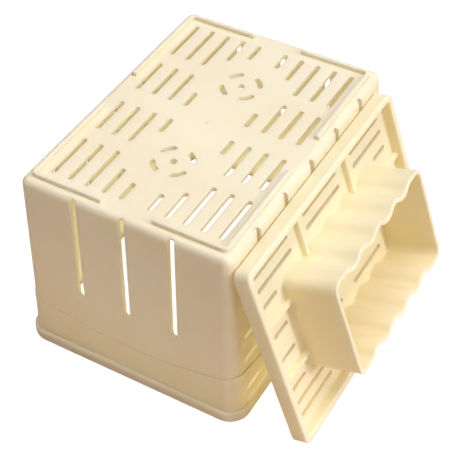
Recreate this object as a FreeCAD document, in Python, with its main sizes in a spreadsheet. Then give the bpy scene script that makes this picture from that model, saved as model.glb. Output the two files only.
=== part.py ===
import FreeCAD, Part
import math
import os
import Sketcher
from FreeCAD import Placement, Rotation, Vector

# Two-piece press mould for fresh cheese, in millimetres, +Z up.
# The perforated box stands upside down on its open mouth, and the press lid
# leans with its upper long edge against the box's +X wall.
# X runs across the short side, Y along the long side.

DIMENSIONS = [
    # the box
    ("floor_width", 90.2, "closed end of the box, across X"),
    ("floor_length", 122.8, "closed end of the box, along Y"),
    ("box_height", 84.6, "mouth to closed end"),
    ("wall_spread", 3.45, "how far each wall leans out from closed end to mouth"),
    ("wall_thick", 1.8, "box walls"),
    ("floor_thick", 1.9, "closed end"),
    ("box_corner", 3.6, "outer radius of the upright corners at the closed end"),
    ("edge_round", 3.0, "rounding between the closed end and the walls"),
    ("inner_round", 1.2, "same rounding on the inside"),
    ("bead_reach", 1.7, "bead beyond the wall at the mouth"),
    ("bead_tall", 5.0, "height of the bead"),
    ("bead_round", 1.1, "rounding of the bead's edges"),
    ("band_step", 0.35, "lower band of the walls stands proud by this"),
    ("band_middle", 17.8, "height of the band's edge in the middle of a wall"),
    ("band_corner", 25.0, "height of the band's edge at the corners"),
    ("band_top", 27.0, "upper limit of the band before its edge is shaped"),
    # feet on the closed end
    ("foot_half_x", 42.1, "outer faces of the corner ridges, across X"),
    ("foot_half_y", 57.7, "outer faces of the corner ridges, along Y"),
    ("foot_wide", 1.9, "width of a ridge"),
    ("foot_tall", 1.8, "height of a ridge"),
    ("foot_corner", 2.6, "outer corner radius of a ridge"),
    ("foot_gap", 11.0, "half of the opening between two ridges"),
    ("foot_round", 0.5, "rounding of a ridge's upper edges"),
    # slots in the closed end
    ("slot_half", 1.15, "half width of the closed end's slots"),
    ("column_first", 6.2, "first slot column from the middle"),
    ("column_pitch", 7.45, "distance between slot columns"),
    ("outer_far", 52.4, "outer slots, end next to the short wall"),
    ("outer_near", 30.5, "outer slots, end next to the middle"),
    ("outer_near_medium", 37.9, "second column, end next to the middle"),
    ("outer_near_short", 42.7, "first column, end next to the middle"),
    ("inner_far", 23.4, "inner slots, far end"),
    ("inner_near", 4.8, "inner slots, near end"),
    ("inner_far_short", 13.5, "inner slot of the second column, far end"),
    ("rosette_away", 25.6, "rosette centre from the middle"),
    ("rosette_radius", 7.65, "middle line of the rosette's arc slots"),
    ("rosette_half", 1.05, "half width of the arc slots"),
    ("rosette_hole", 1.5, "radius of the rosette's round hole"),
    ("rosette_spread", 17.0, "arc slot to either side of its middle, degrees"),
    ("gate_radius", 0.9, "moulding gate mark in the middle"),
    ("gate_tall", 0.35, "height of the gate mark"),
    # slots in the walls
    ("wall_slot_half", 1.4, "half width of the wall slots"),
    ("wall_slot_top", 84.1, "upper end of the wall slots"),
    ("wall_slot_low", 34.3, "lower end of the wall slots"),
    ("short_wall_pitch", 21.1, "three slots in each short wall"),
    ("long_wall_pitch", 20.65, "five slots in each long wall"),
    ("wall_slot_skin", 0.3, "how far a wall slot runs past the inner wall face"),
    ("wall_slot_reach", 7.0, "depth of the cut that makes a wall slot"),
    # the press lid, before it is leaned
    ("lid_width", 83.7, "back of the lid, across X"),
    ("lid_length", 116.6, "back of the lid, along Y"),
    ("lid_corner", 3.4, "corner radius of the lid"),
    ("lid_back_round", 0.8, "rounding of the edge of the back"),
    ("rim_depth", 6.9, "back to free edge of the rim"),
    ("rim_thick", 2.8, "rim at its root"),
    ("rim_draft", 2.2, "flare of the rim, degrees"),
    ("rim_round", 0.7, "rounding of the rim's free edge"),
    ("tray_corner", 1.6, "inner corner radius of the tray"),
    ("tray_round", 1.0, "rounding where the rim meets the plate"),
    ("plate_thick", 2.2, "plate of the lid"),
    # hand ring on the lid
    ("ring_half_y", 37.1, "outer face of the ring's plain short walls"),
    ("ring_half_x", 21.3, "middle line of the ring's wavy long walls"),
    ("wave_swing", 1.15, "waves to either side of the middle line"),
    ("wave_pitch", 14.1, "crest to crest"),
    ("ring_top", 24.85, "back of the lid to the ring's free edge"),
    ("ring_wall", 1.8, "ring wall"),
    ("ring_corner", 4.5, "outer corner radius of the ring"),
    ("ring_round", 0.55, "rounding of the ring's free edge"),
    ("root_round", 0.6, "rounding at the foot of the ring"),
    # ribs between ring and rim
    ("rib_tall", 2.3, "rib height above the plate"),
    ("rib_half", 0.75, "half thickness of a rib"),
    ("long_rib", 19.5, "ribs of the long sides, from the middle"),
    ("short_rib", 13.0, "ribs of the short sides, from the middle"),
    ("rib_bite", 0.8, "overlap of a rib with ring and rim"),
    # slots in the lid
    ("lid_slot_half", 1.0, "half width of the lid's slots"),
    ("row_first", 34.0, "slot row next to the long rim"),
    ("row_second", 27.7, "next row"),
    ("row_third", 20.4, "outer short row"),
    ("row_fourth", 5.65, "inner short row"),
    ("side_far", 50.7, "slots, end next to the short rim"),
    ("side_near", 25.5, "long slots, end next to the ribs"),
    ("short_near", 40.7, "short slots, end next to the ring"),
    ("middle_half", 13.6, "half length of the middle slots"),
    ("ring_row", 14.05, "slot rows inside the ring"),
    ("ring_slot_near", 5.3, "slots inside the ring, near end"),
    ("ring_slot_far", 29.0, "slots inside the ring, far end"),
    # allowances used while shaping
    ("root_overlap", 0.1, "how far a raised detail reaches into what it stands on"),
    ("cut_past", 1.0, "how far a through cut runs past the far face"),
    # how the two pieces stand
    ("lean_angle", 71.9, "lid against the ground, degrees"),
    ("lid_foot_x", 71.45, "lid's lower edge from the middle of the box"),
    ("lid_shift_y", -3.4, "lid along Y from the middle of the box"),
    ("set_middle_x", 19.325, "middle of the whole set from the middle of the box"),
]

doc = FreeCAD.newDocument("cheese_mold")
sheet = doc.addObject("Spreadsheet::Sheet", "dims")
for row, (alias, value, note) in enumerate(DIMENSIONS, start=1):
    sheet.set("A%d" % row, note)
    sheet.set("B%d" % row, str(value))
    sheet.setAlias("B%d" % row, alias)
doc.recompute()


def dim(alias):
    return float(getattr(sheet, alias))


def new_body(name):
    body = doc.addObject("PartDesign::Body", name)
    body.Label = name
    return body


def origin_plane(body, role):
    return [item for item in body.Origin.OriginFeatures if item.Role == role][0]


def new_sketch(body, name, role="XY_Plane", height=None):
    """A sketch on one of the body's own planes; height is an expression along its normal."""
    sketch = body.newObject("Sketcher::SketchObject", name)
    sketch.AttachmentSupport = [(origin_plane(body, role), "")]
    sketch.MapMode = "FlatFace"
    if height is not None:
        sketch.setExpression("AttachmentOffset.Base.z", height)
    return sketch


def bind(sketch, name, constraint, expression):
    index = sketch.addConstraint(constraint)
    sketch.renameConstraint(index, name)
    sketch.setExpression("Constraints." + name, expression)


def line(ax, ay, bx, by):
    return Part.LineSegment(Vector(ax, ay, 0), Vector(bx, by, 0))


def arc(cx, cy, radius, first, last):
    """Arc about a centre, angles in degrees."""
    centre = Part.Circle(Vector(cx, cy, 0), Vector(0, 0, 1), radius)
    return Part.ArcOfCircle(centre, math.radians(first), math.radians(last))


def draw_rounded_rectangle(sketch, width, length, radius):
    """Rectangle centred on the sketch origin; the three arguments are expressions."""
    half_x, half_y, corner = 40.0, 60.0, 3.0
    start = sketch.GeometryCount
    sketch.addGeometry([
        line(-half_x + corner, -half_y, half_x - corner, -half_y),
        arc(half_x - corner, -half_y + corner, corner, 270, 360),
        line(half_x, -half_y + corner, half_x, half_y - corner),
        arc(half_x - corner, half_y - corner, corner, 0, 90),
        line(half_x - corner, half_y, -half_x + corner, half_y),
        arc(-half_x + corner, half_y - corner, corner, 90, 180),
        line(-half_x, half_y - corner, -half_x, -half_y + corner),
        arc(-half_x + corner, -half_y + corner, corner, 180, 270),
    ])
    rules = []
    for step in range(8):
        here, after = start + step, start + (step + 1) % 8
        rules.append(Sketcher.Constraint("Tangent", here, 2, after, 1))
    for step, kind in ((0, "Horizontal"), (2, "Vertical"), (4, "Horizontal"), (6, "Vertical")):
        rules.append(Sketcher.Constraint(kind, start + step))
    for step in (3, 5, 7):
        rules.append(Sketcher.Constraint("Equal", start + 1, start + step))
    rules.append(Sketcher.Constraint("Symmetric", start + 1, 3, start + 5, 3, -1, 1))
    sketch.addConstraint(rules)
    prefix = "box%d_" % start
    bind(sketch, prefix + "width",
         Sketcher.Constraint("DistanceX", start + 6, 1, start + 2, 1, 2 * half_x), width)
    bind(sketch, prefix + "length",
         Sketcher.Constraint("DistanceY", start, 1, start + 4, 1, 2 * half_y), length)
    bind(sketch, prefix + "radius", Sketcher.Constraint("Radius", start + 1, corner), radius)


def draw_slot(sketch, across, low, high, half):
    """Round-ended slot along the sketch's second axis; all four sizes are expressions."""
    start = sketch.GeometryCount
    middle, low_end, high_end, radius = [
        float(sheet.evalExpression(item)) for item in (across, low, high, half)]
    bottom, top = low_end + radius, high_end - radius
    sketch.addGeometry([
        line(middle - radius, bottom, middle - radius, top),
        arc(middle, top, radius, 0, 180),
        line(middle + radius, top, middle + radius, bottom),
        arc(middle, bottom, radius, 180, 360),
    ])
    rules = []
    for first, first_end, second, second_end in (
            (0, 2, 1, 2), (1, 1, 2, 1), (2, 2, 3, 2), (3, 1, 0, 1)):
        rules.append(Sketcher.Constraint("Tangent", start + first, first_end,
                                         start + second, second_end))
    rules.append(Sketcher.Constraint("Equal", start + 1, start + 3))
    rules.append(Sketcher.Constraint("Vertical", start))
    sketch.addConstraint(rules)
    prefix = "slot%d_" % start
    bind(sketch, prefix + "across",
         Sketcher.Constraint("DistanceX", -1, 1, start + 3, 3, middle), across)
    bind(sketch, prefix + "low",
         Sketcher.Constraint("DistanceY", -1, 1, start + 3, 3, bottom),
         "(%s) + (%s)" % (low, half))
    bind(sketch, prefix + "high",
         Sketcher.Constraint("DistanceY", -1, 1, start + 1, 3, top),
         "(%s) - (%s)" % (high, half))
    bind(sketch, prefix + "half", Sketcher.Constraint("Radius", start + 1, radius), half)


def draw_bar(sketch, low_x, high_x, low_y, high_y):
    """Plain rectangle between these limits."""
    sketch.addGeometry([
        line(low_x, low_y, high_x, low_y),
        line(high_x, low_y, high_x, high_y),
        line(high_x, high_y, low_x, high_y),
        line(low_x, high_y, low_x, low_y),
    ])


def pad(body, name, sketch, length):
    feature = body.newObject("PartDesign::Pad", name)
    feature.Profile = sketch
    feature.setExpression("Length", length)
    return feature


def pocket(body, name, sketch, length):
    feature = body.newObject("PartDesign::Pocket", name)
    feature.Profile = sketch
    feature.setExpression("Length", length)
    return feature


def mirror(body, name, features, roles):
    """Repeat features across the body's own planes."""
    pattern = body.newObject("PartDesign::MultiTransform", name)
    steps = []
    for role in roles:
        step = body.newObject("PartDesign::Mirrored", name + "_" + role)
        step.MirrorPlane = (origin_plane(body, role), [""])
        steps.append(step)
    pattern.Originals = features
    pattern.Transformations = steps
    body.Tip = pattern
    doc.recompute()
    return pattern


def fillet(body, name, chosen, radius):
    """Round the edges of the body for which chosen(edge) is true."""
    doc.recompute()
    base = body.Tip
    names = []
    for number, edge in enumerate(base.Shape.Edges, start=1):
        if chosen(edge):
            names.append("Edge%d" % number)
    feature = body.newObject("PartDesign::Fillet", name)
    feature.Base = (base, names)
    feature.setExpression("Radius", radius)
    doc.recompute()
    return feature


def level(edge, height, tolerance=0.02):
    """True for an edge that lies in the horizontal plane at this height."""
    box = edge.BoundBox
    return abs(box.ZMin - height) < tolerance and abs(box.ZMax - height) < tolerance


# ---------------------------------------------------------------- mold_box
box = new_body("mold_box")
DRAFT = "atan(dims.wall_spread / dims.box_height)"
MOUTH_WIDTH = "dims.floor_width + 2 * dims.wall_spread"
MOUTH_LENGTH = "dims.floor_length + 2 * dims.wall_spread"
MOUTH_CORNER = "dims.box_corner + dims.wall_spread"


def mouth_sketch(name, grow):
    """Outline of the box at its mouth, grown by an expression on every side."""
    sketch = new_sketch(box, name)
    draw_rounded_rectangle(
        sketch,
        "%s + 2 * (%s)" % (MOUTH_WIDTH, grow),
        "%s + 2 * (%s)" % (MOUTH_LENGTH, grow),
        "%s + (%s)" % (MOUTH_CORNER, grow),
    )
    return sketch


# bead round the mouth
pad(box, "bead", mouth_sketch("bead_outline", "dims.bead_reach"), "dims.bead_tall")
fillet(box, "bead_edge", lambda edge: level(edge, 0.0) or level(edge, dim("bead_tall")),
       "dims.bead_round")

# lower band, a little proud of the walls, its upper edge bowed down in mid-wall
band = pad(box, "band", mouth_sketch("band_outline", "dims.band_step"), "dims.band_top")
band.setExpression("TaperAngle", "-" + DRAFT)
for label, role, half in (
        ("band_edge_short", "XZ_Plane", dim("floor_width") / 2 + dim("wall_spread")),
        ("band_edge_long", "YZ_Plane", dim("floor_length") / 2 + dim("wall_spread"))):
    edge_sketch = new_sketch(box, label, role)
    roof = dim("band_top") + dim("bead_tall")
    start = Vector(-half, dim("band_corner"), 0)
    lowest = Vector(0, dim("band_middle"), 0)
    end = Vector(half, dim("band_corner"), 0)
    edge_sketch.addGeometry([
        Part.Arc(start, lowest, end),
        line(end.x, end.y, end.x, roof),
        line(end.x, roof, start.x, roof),
        line(start.x, roof, start.x, start.y),
    ])
    trim = box.newObject("PartDesign::Pocket", label + "_cut")
    trim.Profile = edge_sketch
    trim.Type = "ThroughAll"
    trim.Midplane = True

# drafted walls up to the closed end
walls = pad(box, "walls", mouth_sketch("mouth_outline", "0"), "dims.box_height")
walls.setExpression("TaperAngle", "-" + DRAFT)
fillet(box, "closed_end_edge", lambda edge: level(edge, dim("box_height")), "dims.edge_round")

# inside of the box
cavity = pocket(box, "cavity", mouth_sketch("cavity_outline", "-dims.wall_thick"),
                "dims.box_height - dims.floor_thick")
cavity.Reversed = True
cavity.setExpression("TaperAngle", "-" + DRAFT)
fillet(box, "cavity_edge",
       lambda edge: level(edge, dim("box_height") - dim("floor_thick")), "dims.inner_round")

# raised L-shaped ridges at the corners of the closed end
ridges = new_sketch(box, "ridges", height="dims.box_height - dims.root_overlap")
draw_rounded_rectangle(ridges, "2 * dims.foot_half_x", "2 * dims.foot_half_y", "dims.foot_corner")
draw_rounded_rectangle(ridges, "2 * (dims.foot_half_x - dims.foot_wide)",
                       "2 * (dims.foot_half_y - dims.foot_wide)",
                       "dims.foot_corner - dims.foot_wide")
pad(box, "ridge_frame", ridges, "dims.foot_tall + dims.root_overlap")
fillet(box, "ridge_round", lambda edge: level(edge, dim("box_height") + dim("foot_tall")),
       "dims.foot_round")

gaps = new_sketch(box, "ridge_gaps", height="dims.box_height + dims.foot_tall")
gap, clear_x, clear_y = dim("foot_gap"), dim("floor_width") / 2, dim("floor_length") / 2
inner_x = dim("foot_half_x") - 2 * dim("foot_wide")
inner_y = dim("foot_half_y") - 2 * dim("foot_wide")
for side in (1, -1):
    draw_bar(gaps, -gap, gap, side * inner_y, side * clear_y)
    draw_bar(gaps, side * inner_x, side * clear_x, -gap, gap)
pocket(box, "ridge_gap_cut", gaps, "dims.foot_tall")

# gate mark in the middle of the closed end
gate = new_sketch(box, "gate", height="dims.box_height - dims.root_overlap")
gate.addGeometry(Part.Circle(Vector(0, 0, 0), Vector(0, 0, 1), dim("gate_radius")))
gate.addConstraint(Sketcher.Constraint("Coincident", 0, 3, -1, 1))
bind(gate, "gate_radius", Sketcher.Constraint("Radius", 0, dim("gate_radius")), "dims.gate_radius")
pad(box, "gate_mark", gate, "dims.gate_tall + dims.root_overlap")

# slots of one quarter of the closed end, then mirrored to the other three
quarter = new_sketch(box, "floor_slots", height="dims.box_height")
for column in (2, 3, 4):
    place = "dims.column_first + %d * dims.column_pitch" % column
    draw_slot(quarter, place, "dims.outer_near", "dims.outer_far", "dims.slot_half")
    draw_slot(quarter, place, "dims.inner_near", "dims.inner_far", "dims.slot_half")
second = "dims.column_first + dims.column_pitch"
draw_slot(quarter, second, "dims.outer_near_medium", "dims.outer_far", "dims.slot_half")
draw_slot(quarter, second, "dims.inner_near", "dims.inner_far_short", "dims.slot_half")
draw_slot(quarter, "dims.column_first", "dims.outer_near_short", "dims.outer_far", "dims.slot_half")
floor_slots = pocket(box, "floor_slot_cut", quarter, "dims.floor_thick + dims.cut_past")
mirror(box, "floor_slots_all", [floor_slots], ["YZ_Plane", "XZ_Plane"])

# rosettes: a round hole and four arc slots on the box's long centre line
rosette = new_sketch(box, "rosette", height="dims.box_height")
away, ring_line, half = dim("rosette_away"), dim("rosette_radius"), dim("rosette_half")
spread = dim("rosette_spread")
rosette.addGeometry(Part.Circle(Vector(0, away, 0), Vector(0, 0, 1), dim("rosette_hole")))
for quarter_turn in range(4):
    centre_angle = 45.0 + 90.0 * quarter_turn
    first, last = centre_angle - spread, centre_angle + spread
    rosette.addGeometry([
        arc(0, away, ring_line + half, first, last),
        arc(0, away, ring_line - half, first, last),
    ])
    for angle, sweep in ((first, 180.0), (last, 0.0)):
        turn = math.radians(angle)
        rosette.addGeometry(arc(ring_line * math.cos(turn), away + ring_line * math.sin(turn),
                                half, angle + sweep, angle + sweep + 180.0))
rosette_cut = pocket(box, "rosette_cut", rosette, "dims.floor_thick + dims.cut_past")
mirror(box, "rosettes", [rosette_cut], ["XZ_Plane"])

# upright slots through the walls, cut from outside to just past the inner wall face
short_wall = new_sketch(
    box, "short_wall_slots", "XZ_Plane",
    "dims.floor_length / 2 - dims.wall_thick - dims.wall_slot_skin + dims.wall_slot_reach")
for step in (-1, 0, 1):
    draw_slot(short_wall, "%d * dims.short_wall_pitch" % step,
              "dims.wall_slot_low", "dims.wall_slot_top", "dims.wall_slot_half")
short_cut = pocket(box, "short_wall_cut", short_wall, "dims.wall_slot_reach")
mirror(box, "short_wall_all", [short_cut], ["XZ_Plane"])

long_wall = new_sketch(
    box, "long_wall_slots", "YZ_Plane",
    "dims.floor_width / 2 - dims.wall_thick - dims.wall_slot_skin + dims.wall_slot_reach")
for step in (-2, -1, 0, 1, 2):
    draw_slot(long_wall, "%d * dims.long_wall_pitch" % step,
              "dims.wall_slot_low", "dims.wall_slot_top", "dims.wall_slot_half")
long_cut = pocket(box, "long_wall_cut", long_wall, "dims.wall_slot_reach")
mirror(box, "long_wall_all", [long_cut], ["YZ_Plane"])

box.setExpression("Placement.Base.x", "-dims.set_middle_x")

# --------------------------------------------------------------- press_lid
# Drawn flat: back at z = 0, tray and ring opening upward, then leaned.
lid = new_body("press_lid")

outline = new_sketch(lid, "lid_outline")
draw_rounded_rectangle(outline, "dims.lid_width", "dims.lid_length", "dims.lid_corner")
blank = pad(lid, "lid_blank", outline, "dims.rim_depth")
blank.setExpression("TaperAngle", "dims.rim_draft")

tray = new_sketch(lid, "tray", height="dims.rim_depth")
draw_rounded_rectangle(tray, "dims.lid_width - 2 * dims.rim_thick",
                       "dims.lid_length - 2 * dims.rim_thick", "dims.tray_corner")
pocket(lid, "tray_cut", tray, "dims.rim_depth - dims.plate_thick")
fillet(lid, "tray_root", lambda edge: level(edge, dim("plate_thick")), "dims.tray_round")
fillet(lid, "lid_back_edge", lambda edge: level(edge, 0.0), "dims.lid_back_round")
fillet(lid, "rim_edge", lambda edge: level(edge, dim("rim_depth")), "dims.rim_round")


def ring_outline(inset):
    """Closed outline of the hand ring moved inward by inset: wavy long walls, plain ends."""
    quarter_pitch = dim("wave_pitch") / 4
    swing = dim("wave_swing")
    radius = (quarter_pitch ** 2 + swing ** 2) / (2 * swing)
    spread = math.degrees(math.asin(quarter_pitch / radius))
    crest = dim("ring_half_x") + swing
    corner = dim("ring_corner")
    end_y = dim("ring_half_y")
    shapes = []
    for side in (1, -1):
        facing = 0.0 if side > 0 else 180.0
        crest_x = side * (crest - radius)
        trough_x = side * (crest - 2 * swing + radius)
        for lobe in (-1, 0, 1):
            shapes.append(arc(crest_x, lobe * 4 * quarter_pitch, radius - inset,
                              facing - spread, facing + spread))
        for trough in (-3, -1, 1, 3):
            shapes.append(arc(trough_x, trough * 2 * quarter_pitch, radius + inset,
                              facing + 180.0 - spread, facing + 180.0 + spread))
        for end in (1, -1):
            # last lobe: from the last trough up to its crest, then straight into the corner
            crest_y = end * 8 * quarter_pitch
            if side * end > 0:
                first, last = facing - spread, facing
            else:
                first, last = facing, facing + spread
            shapes.append(arc(crest_x, crest_y, radius - inset, first, last))
            flat = side * (crest - inset)
            shapes.append(line(flat, crest_y, flat, end * (end_y - corner)))
            quadrant = {(1, 1): 0, (-1, 1): 90, (-1, -1): 180, (1, -1): 270}[(side, end)]
            shapes.append(arc(side * (crest - corner), end * (end_y - corner), corner - inset,
                              quadrant, quadrant + 90))
    for end in (1, -1):
        plain = end * (end_y - inset)
        shapes.append(line(corner - crest, plain, crest - corner, plain))
    return shapes


ring = new_sketch(lid, "ring_outline", height="dims.plate_thick")
ring.addGeometry(ring_outline(0.0))
ring.addGeometry(ring_outline(dim("ring_wall")))
pad(lid, "hand_ring", ring, "dims.ring_top - dims.plate_thick")


def ring_root(edge):
    """Edges where the ring stands on the plate."""
    box_of = edge.BoundBox
    return (level(edge, dim("plate_thick"))
            and max(abs(box_of.XMin), abs(box_of.XMax)) < dim("ring_half_x") + 2 * dim("wave_swing")
            and max(abs(box_of.YMin), abs(box_of.YMax)) < dim("ring_half_y") + 0.1)


fillet(lid, "ring_root", ring_root, "dims.root_round")
fillet(lid, "ring_edge", lambda edge: level(edge, dim("ring_top")), "dims.ring_round")

# ribs between the ring and the rim, two to a side
ribs = new_sketch(lid, "ribs", height="dims.plate_thick - dims.root_overlap")
trough_x = dim("ring_half_x") - dim("wave_swing")
rim_x = dim("lid_width") / 2 - dim("rim_thick")
rim_y = dim("lid_length") / 2 - dim("rim_thick")
bite, rib_half = dim("rib_bite"), dim("rib_half")
draw_bar(ribs, trough_x - bite, rim_x + bite, dim("long_rib") - rib_half, dim("long_rib") + rib_half)
draw_bar(ribs, dim("short_rib") - rib_half, dim("short_rib") + rib_half,
         dim("ring_half_y") - bite, rim_y + bite)
rib_pad = pad(lid, "rib_pad", ribs, "dims.rib_tall + dims.root_overlap")
mirror(lid, "ribs_all", [rib_pad], ["YZ_Plane", "XZ_Plane"])

# slots of one quarter of the lid, mirrored; then the two middle rows
lid_slots = new_sketch(lid, "lid_slots", height="dims.plate_thick")
for row in ("row_first", "row_second"):
    draw_slot(lid_slots, "dims." + row, "dims.side_near", "dims.side_far", "dims.lid_slot_half")
for row in ("row_third", "row_fourth"):
    draw_slot(lid_slots, "dims." + row, "dims.short_near", "dims.side_far", "dims.lid_slot_half")
draw_slot(lid_slots, "dims.ring_row", "dims.ring_slot_near", "dims.ring_slot_far",
          "dims.lid_slot_half")
lid_slot_cut = pocket(lid, "lid_slot_cut", lid_slots, "dims.plate_thick + dims.cut_past")
mirror(lid, "lid_slots_all", [lid_slot_cut], ["YZ_Plane", "XZ_Plane"])

middle_slots = new_sketch(lid, "middle_slots", height="dims.plate_thick")
for row in ("row_first", "row_second"):
    draw_slot(middle_slots, "dims." + row, "-dims.middle_half", "dims.middle_half",
              "dims.lid_slot_half")
middle_cut = pocket(lid, "middle_slot_cut", middle_slots, "dims.plate_thick + dims.cut_past")
mirror(lid, "middle_slots_all", [middle_cut], ["YZ_Plane"])

# lean the lid: its lower back edge on the ground, its upper back edge at the box wall
lid.Placement = Placement(Vector(0, 0, 0), Rotation(Vector(0, 1, 0), dim("lean_angle")))
lid.setExpression("Placement.Rotation.Angle", "dims.lean_angle")
lid.setExpression("Placement.Base.x", "dims.lid_foot_x - dims.set_middle_x"
                  " - dims.lid_width / 2 * cos(dims.lean_angle * 1 deg)")
lid.setExpression("Placement.Base.y", "dims.lid_shift_y")
lid.setExpression("Placement.Base.z",
                  "(dims.lid_width / 2 - dims.lid_back_round * tan((90 - dims.rim_draft) / 2 * 1 deg))"
                  " * sin(dims.lean_angle * 1 deg)"
                  " + dims.lid_back_round * (1 - cos(dims.lean_angle * 1 deg))")
doc.recompute()

# ------------------------------------------------------------------- write
for item in doc.Objects:
    for word in ("Invalid", "Error"):
        if word in item.State:
            raise RuntimeError("%s is %s" % (item.Label, item.State))

os.makedirs("parts", exist_ok=True)
for body in (box, lid):
    shape = body.Shape
    if shape.isNull() or not shape.isValid() or len(shape.Solids) != 1:
        raise RuntimeError("%s is not one sound solid" % body.Label)
    shape.exportStep("parts/%s.step" % body.Label)
    box_of = shape.optimalBoundingBox(False, False)
    print(body.Label, "volume %.0f mm3" % shape.Volume,
          "x %.2f..%.2f" % (box_of.XMin, box_of.XMax),
          "y %.2f..%.2f" % (box_of.YMin, box_of.YMax),
          "z %.2f..%.2f" % (box_of.ZMin, box_of.ZMax))
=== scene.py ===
import math

import bpy
from mathutils import Euler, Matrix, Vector

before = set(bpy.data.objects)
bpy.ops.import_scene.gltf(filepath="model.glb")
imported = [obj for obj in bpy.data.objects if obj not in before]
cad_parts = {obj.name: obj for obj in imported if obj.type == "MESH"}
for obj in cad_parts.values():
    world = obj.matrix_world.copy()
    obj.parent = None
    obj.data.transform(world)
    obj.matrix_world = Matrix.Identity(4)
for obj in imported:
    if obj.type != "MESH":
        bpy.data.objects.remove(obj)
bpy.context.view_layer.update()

scene = bpy.context.scene

# ------------------------------------------------------------------ camera
CAMERA_PLACE = (0.175416, -0.311247, 0.388493)
CAMERA_TURN = (0.792801, 0.017326, 0.522889)
LENS_MM = 96.984
SENSOR_MM = 36.0

camera_data = bpy.data.cameras.new("camera")
camera_data.lens = LENS_MM
camera_data.sensor_width = SENSOR_MM
camera_data.clip_start = 0.01
camera_data.clip_end = 50.0
camera = bpy.data.objects.new("camera", camera_data)
camera.location = CAMERA_PLACE
camera.rotation_euler = Euler(CAMERA_TURN, "XYZ")
scene.collection.objects.link(camera)
scene.camera = camera


# --------------------------------------------------------------- materials
# noise scales are per metre, lengths in metres
CLOUD_SCALE, CLOUD_DETAIL = 22.0, 3.0
SCUFF_SCALE, SCUFF_DETAIL, SCUFF_ROUGHNESS = 180.0, 4.0, 0.6
SMOOTHEST, ROUGHEST = 0.36, 0.46
SINK_SCALE, SINK_STRENGTH, SINK_DEPTH = 60.0, 0.35, 0.0002
GRAIN_SCALE, GRAIN_STRENGTH, GRAIN_DEPTH = 2600.0, 0.25, 0.00003
BUMP_DETAIL = 2.0
EDGE_RADIUS, EDGE_SAMPLES = 0.00025, 4
SCATTER_SHARE = 0.45
SCATTER_REACH = 0.009
SCATTER_TINT = (1.0, 0.9, 0.7)
PLASTIC_IOR = 1.49


def linear(red, green, blue):
    """A colour given as 0 to 255 screen values, as the renderer's linear values."""
    out = []
    for value in (red, green, blue):
        share = value / 255.0
        out.append(share / 12.92 if share <= 0.04045 else ((share + 0.055) / 1.055) ** 2.4)
    return (*out, 1.0)


def add(tree, kind, **settings):
    node = tree.nodes.new(kind)
    for name, value in settings.items():
        setattr(node, name, value)
    return node


def noise(tree, place, scale, detail, roughness=0.5):
    node = add(tree, "ShaderNodeTexNoise")
    node.inputs["Scale"].default_value = scale
    node.inputs["Detail"].default_value = detail
    node.inputs["Roughness"].default_value = roughness
    tree.links.new(place, node.inputs["Vector"])
    return node


def spread(tree, value, low, high):
    """A value of 0.35 to 0.65 as one of low to high."""
    node = add(tree, "ShaderNodeMapRange")
    node.inputs["From Min"].default_value = 0.35
    node.inputs["From Max"].default_value = 0.65
    node.inputs["To Min"].default_value = low
    node.inputs["To Max"].default_value = high
    tree.links.new(value, node.inputs["Value"])
    return node.outputs["Result"]


def bump(tree, place, normal, scale, strength, depth):
    """The normal, roughened by noise of a scale, with a strength and a depth."""
    node = add(tree, "ShaderNodeBump")
    node.inputs["Strength"].default_value = strength
    node.inputs["Distance"].default_value = depth
    tree.links.new(noise(tree, place, scale, BUMP_DETAIL).outputs["Fac"], node.inputs["Height"])
    tree.links.new(normal, node.inputs["Normal"])
    return node.outputs["Normal"]


def moulded_plastic(name, pale, deep, seed):
    """Satin cream plastic: faint clouds, uneven gloss, slight sink, mould grain, translucency."""
    material = bpy.data.materials.new(name)
    material.use_nodes = True
    tree = material.node_tree
    shader = tree.nodes["Principled BSDF"]
    shifted = add(tree, "ShaderNodeMapping")
    shifted.inputs["Location"].default_value = (seed, seed * 0.7, seed * 1.3)
    tree.links.new(add(tree, "ShaderNodeTexCoord").outputs["Object"], shifted.inputs["Vector"])
    place = shifted.outputs["Vector"]

    clouds = noise(tree, place, CLOUD_SCALE, CLOUD_DETAIL)
    tint = add(tree, "ShaderNodeValToRGB")
    for element, position, colour in zip(tint.color_ramp.elements, (0.36, 0.64), (deep, pale)):
        element.position = position
        element.color = colour
    tree.links.new(clouds.outputs["Fac"], tint.inputs["Fac"])
    tree.links.new(tint.outputs["Color"], shader.inputs["Base Color"])

    scuffs = noise(tree, place, SCUFF_SCALE, SCUFF_DETAIL, SCUFF_ROUGHNESS)
    gloss = spread(tree, scuffs.outputs["Fac"], SMOOTHEST, ROUGHEST)
    tree.links.new(gloss, shader.inputs["Roughness"])

    rounded = add(tree, "ShaderNodeBevel", samples=EDGE_SAMPLES)
    rounded.inputs["Radius"].default_value = EDGE_RADIUS
    normal = rounded.outputs["Normal"]
    normal = bump(tree, place, normal, SINK_SCALE, SINK_STRENGTH, SINK_DEPTH)
    normal = bump(tree, place, normal, GRAIN_SCALE, GRAIN_STRENGTH, GRAIN_DEPTH)
    tree.links.new(normal, shader.inputs["Normal"])

    shader.inputs["Subsurface Weight"].default_value = SCATTER_SHARE
    shader.inputs["Subsurface Radius"].default_value = SCATTER_TINT
    shader.inputs["Subsurface Scale"].default_value = SCATTER_REACH
    shader.inputs["IOR"].default_value = PLASTIC_IOR
    return material


def dress(node, material):
    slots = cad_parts[node].data.materials
    slots.clear()
    slots.append(material)


CREAM_PALE = linear(247, 232, 197)
CREAM_DEEP = linear(244, 226, 188)
LID_PALE = linear(248, 234, 192)
LID_DEEP = linear(245, 228, 183)
dress("mold_box", moulded_plastic("box_cream", CREAM_PALE, CREAM_DEEP, 0.31))
dress("press_lid", moulded_plastic("lid_cream", LID_PALE, LID_DEEP, 0.87))

# ------------------------------------------------------------------- floor
FLOOR_HALF = 4.0


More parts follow.
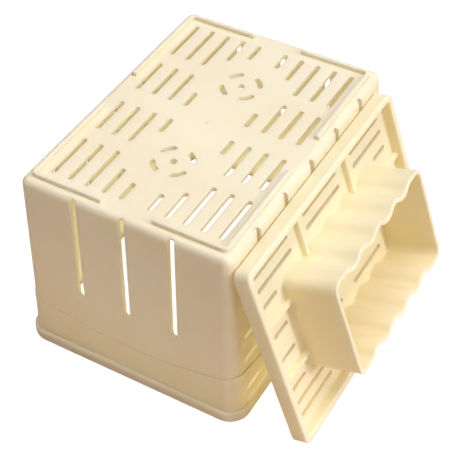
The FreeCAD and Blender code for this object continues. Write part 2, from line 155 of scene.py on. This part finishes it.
def studio_floor(name, depth, colour, glow):
    """A wide pale sheet just under the object; glow is how much light it gives off itself."""
    mesh = bpy.data.meshes.new(name)
    mesh.from_pydata(
        [(-FLOOR_HALF, -FLOOR_HALF, 0), (FLOOR_HALF, -FLOOR_HALF, 0),
         (FLOOR_HALF, FLOOR_HALF, 0), (-FLOOR_HALF, FLOOR_HALF, 0)],
        [], [(0, 1, 2, 3)])
    sheet = bpy.data.objects.new(name, mesh)
    sheet.location.z = -depth
    scene.collection.objects.link(sheet)
    sheet.visible_shadow = False
    paint = bpy.data.materials.new(name)
    paint.use_nodes = True
    shader = paint.node_tree.nodes["Principled BSDF"]
    shader.inputs["Base Color"].default_value = (*colour, 1.0)
    shader.inputs["Roughness"].default_value = 0.9
    shader.inputs["Specular IOR Level"].default_value = 0.0
    shader.inputs["Emission Color"].default_value = (1.0, 1.0, 1.0, 1.0)
    shader.inputs["Emission Strength"].default_value = glow
    mesh.materials.append(paint)
    return sheet


# one floor is only seen; the other, a little warmer, only sends light back up to the object
seen_floor = studio_floor("floor", 0.0002, (0.5, 0.5, 0.5), 0.93)
seen_floor.visible_diffuse = False
seen_floor.visible_glossy = False
bounce_floor = studio_floor("floor_bounce", 0.0004, (0.92, 0.74, 0.62), 0.0)
bounce_floor.visible_camera = False

# ------------------------------------------------------------------ lights
BOX_SIZE = 0.9
BOX_AWAY = 1.35
AIM = Vector((0.0, 0.0, 0.05))
DAYLIGHT = (0.893, 0.90, 1.0)
GLOW_RISE = 0.0006


def place_light(name, kind, colour, power):
    data = bpy.data.lights.new(name, kind)
    data.color = colour
    data.energy = power
    lamp = bpy.data.objects.new(name, data)
    scene.collection.objects.link(lamp)
    return lamp


def softbox(name, azimuth, elevation, power):
    """Square soft light; azimuth 0 is the -Y side and 90 the +X side, in degrees."""
    turn, rise = math.radians(azimuth), math.radians(elevation)
    outward = Vector((math.sin(turn) * math.cos(rise), -math.cos(turn) * math.cos(rise),
                      math.sin(rise)))
    lamp = place_light(name, "AREA", DAYLIGHT, power)
    lamp.data.shape = "SQUARE"
    lamp.data.size = BOX_SIZE
    lamp.location = AIM + outward * BOX_AWAY
    lamp.rotation_euler = (-outward).to_track_quat("-Z", "Y").to_euler()


def table_glow(name, along_x, along_y, colour, power):
    """Light that comes up through the lit table under part of the set."""
    lamp = place_light(name, "AREA", colour, power)
    lamp.data.shape = "RECTANGLE"
    lamp.data.size = along_x[1] - along_x[0]
    lamp.data.size_y = along_y[1] - along_y[0]
    lamp.location = (sum(along_x) / 2, sum(along_y) / 2, GLOW_RISE)
    lamp.rotation_euler = (math.pi, 0.0, 0.0)
    lamp.visible_camera = False


for side, azimuth, elevation, power in (
        ("top", 180.0, 88.0, 13.1),
        ("right", 90.0, 50.0, 8.7),
        ("left", 270.0, 45.0, 1.3),
        ("back_left", 210.0, 45.0, 0.9)):
    softbox("softbox_" + side, azimuth, elevation, power)
table_glow("glow_under_box", (-0.064, 0.0255), (-0.061, 0.061), (0.88, 1.0, 0.8), 0.030)
table_glow("glow_behind_lid", (0.033, 0.050), (-0.060, 0.053), (1.0, 0.92, 0.45), 0.0054)

# the key falls through the lid's slots onto the long wall behind; it is kept out of reflections
KEY_TRAVEL = Vector((-1.0, -0.128, -0.43))
KEY_ANGLE = 3.0
key = place_light("key", "SUN", DAYLIGHT, 1.33)
key.data.angle = math.radians(KEY_ANGLE)
key.visible_glossy = False
key.rotation_euler = KEY_TRAVEL.to_track_quat("-Z", "Y").to_euler()

# the backdrop beyond the floor is only seen; it lights nothing
world = bpy.data.worlds.new("studio")
scene.world = world
world.use_nodes = True
world.node_tree.nodes["Background"].inputs["Color"].default_value = (1.0, 1.0, 1.0, 1.0)
world.cycles_visibility.diffuse = False
world.cycles_visibility.glossy = False
scene.view_settings.view_transform = "Standard"
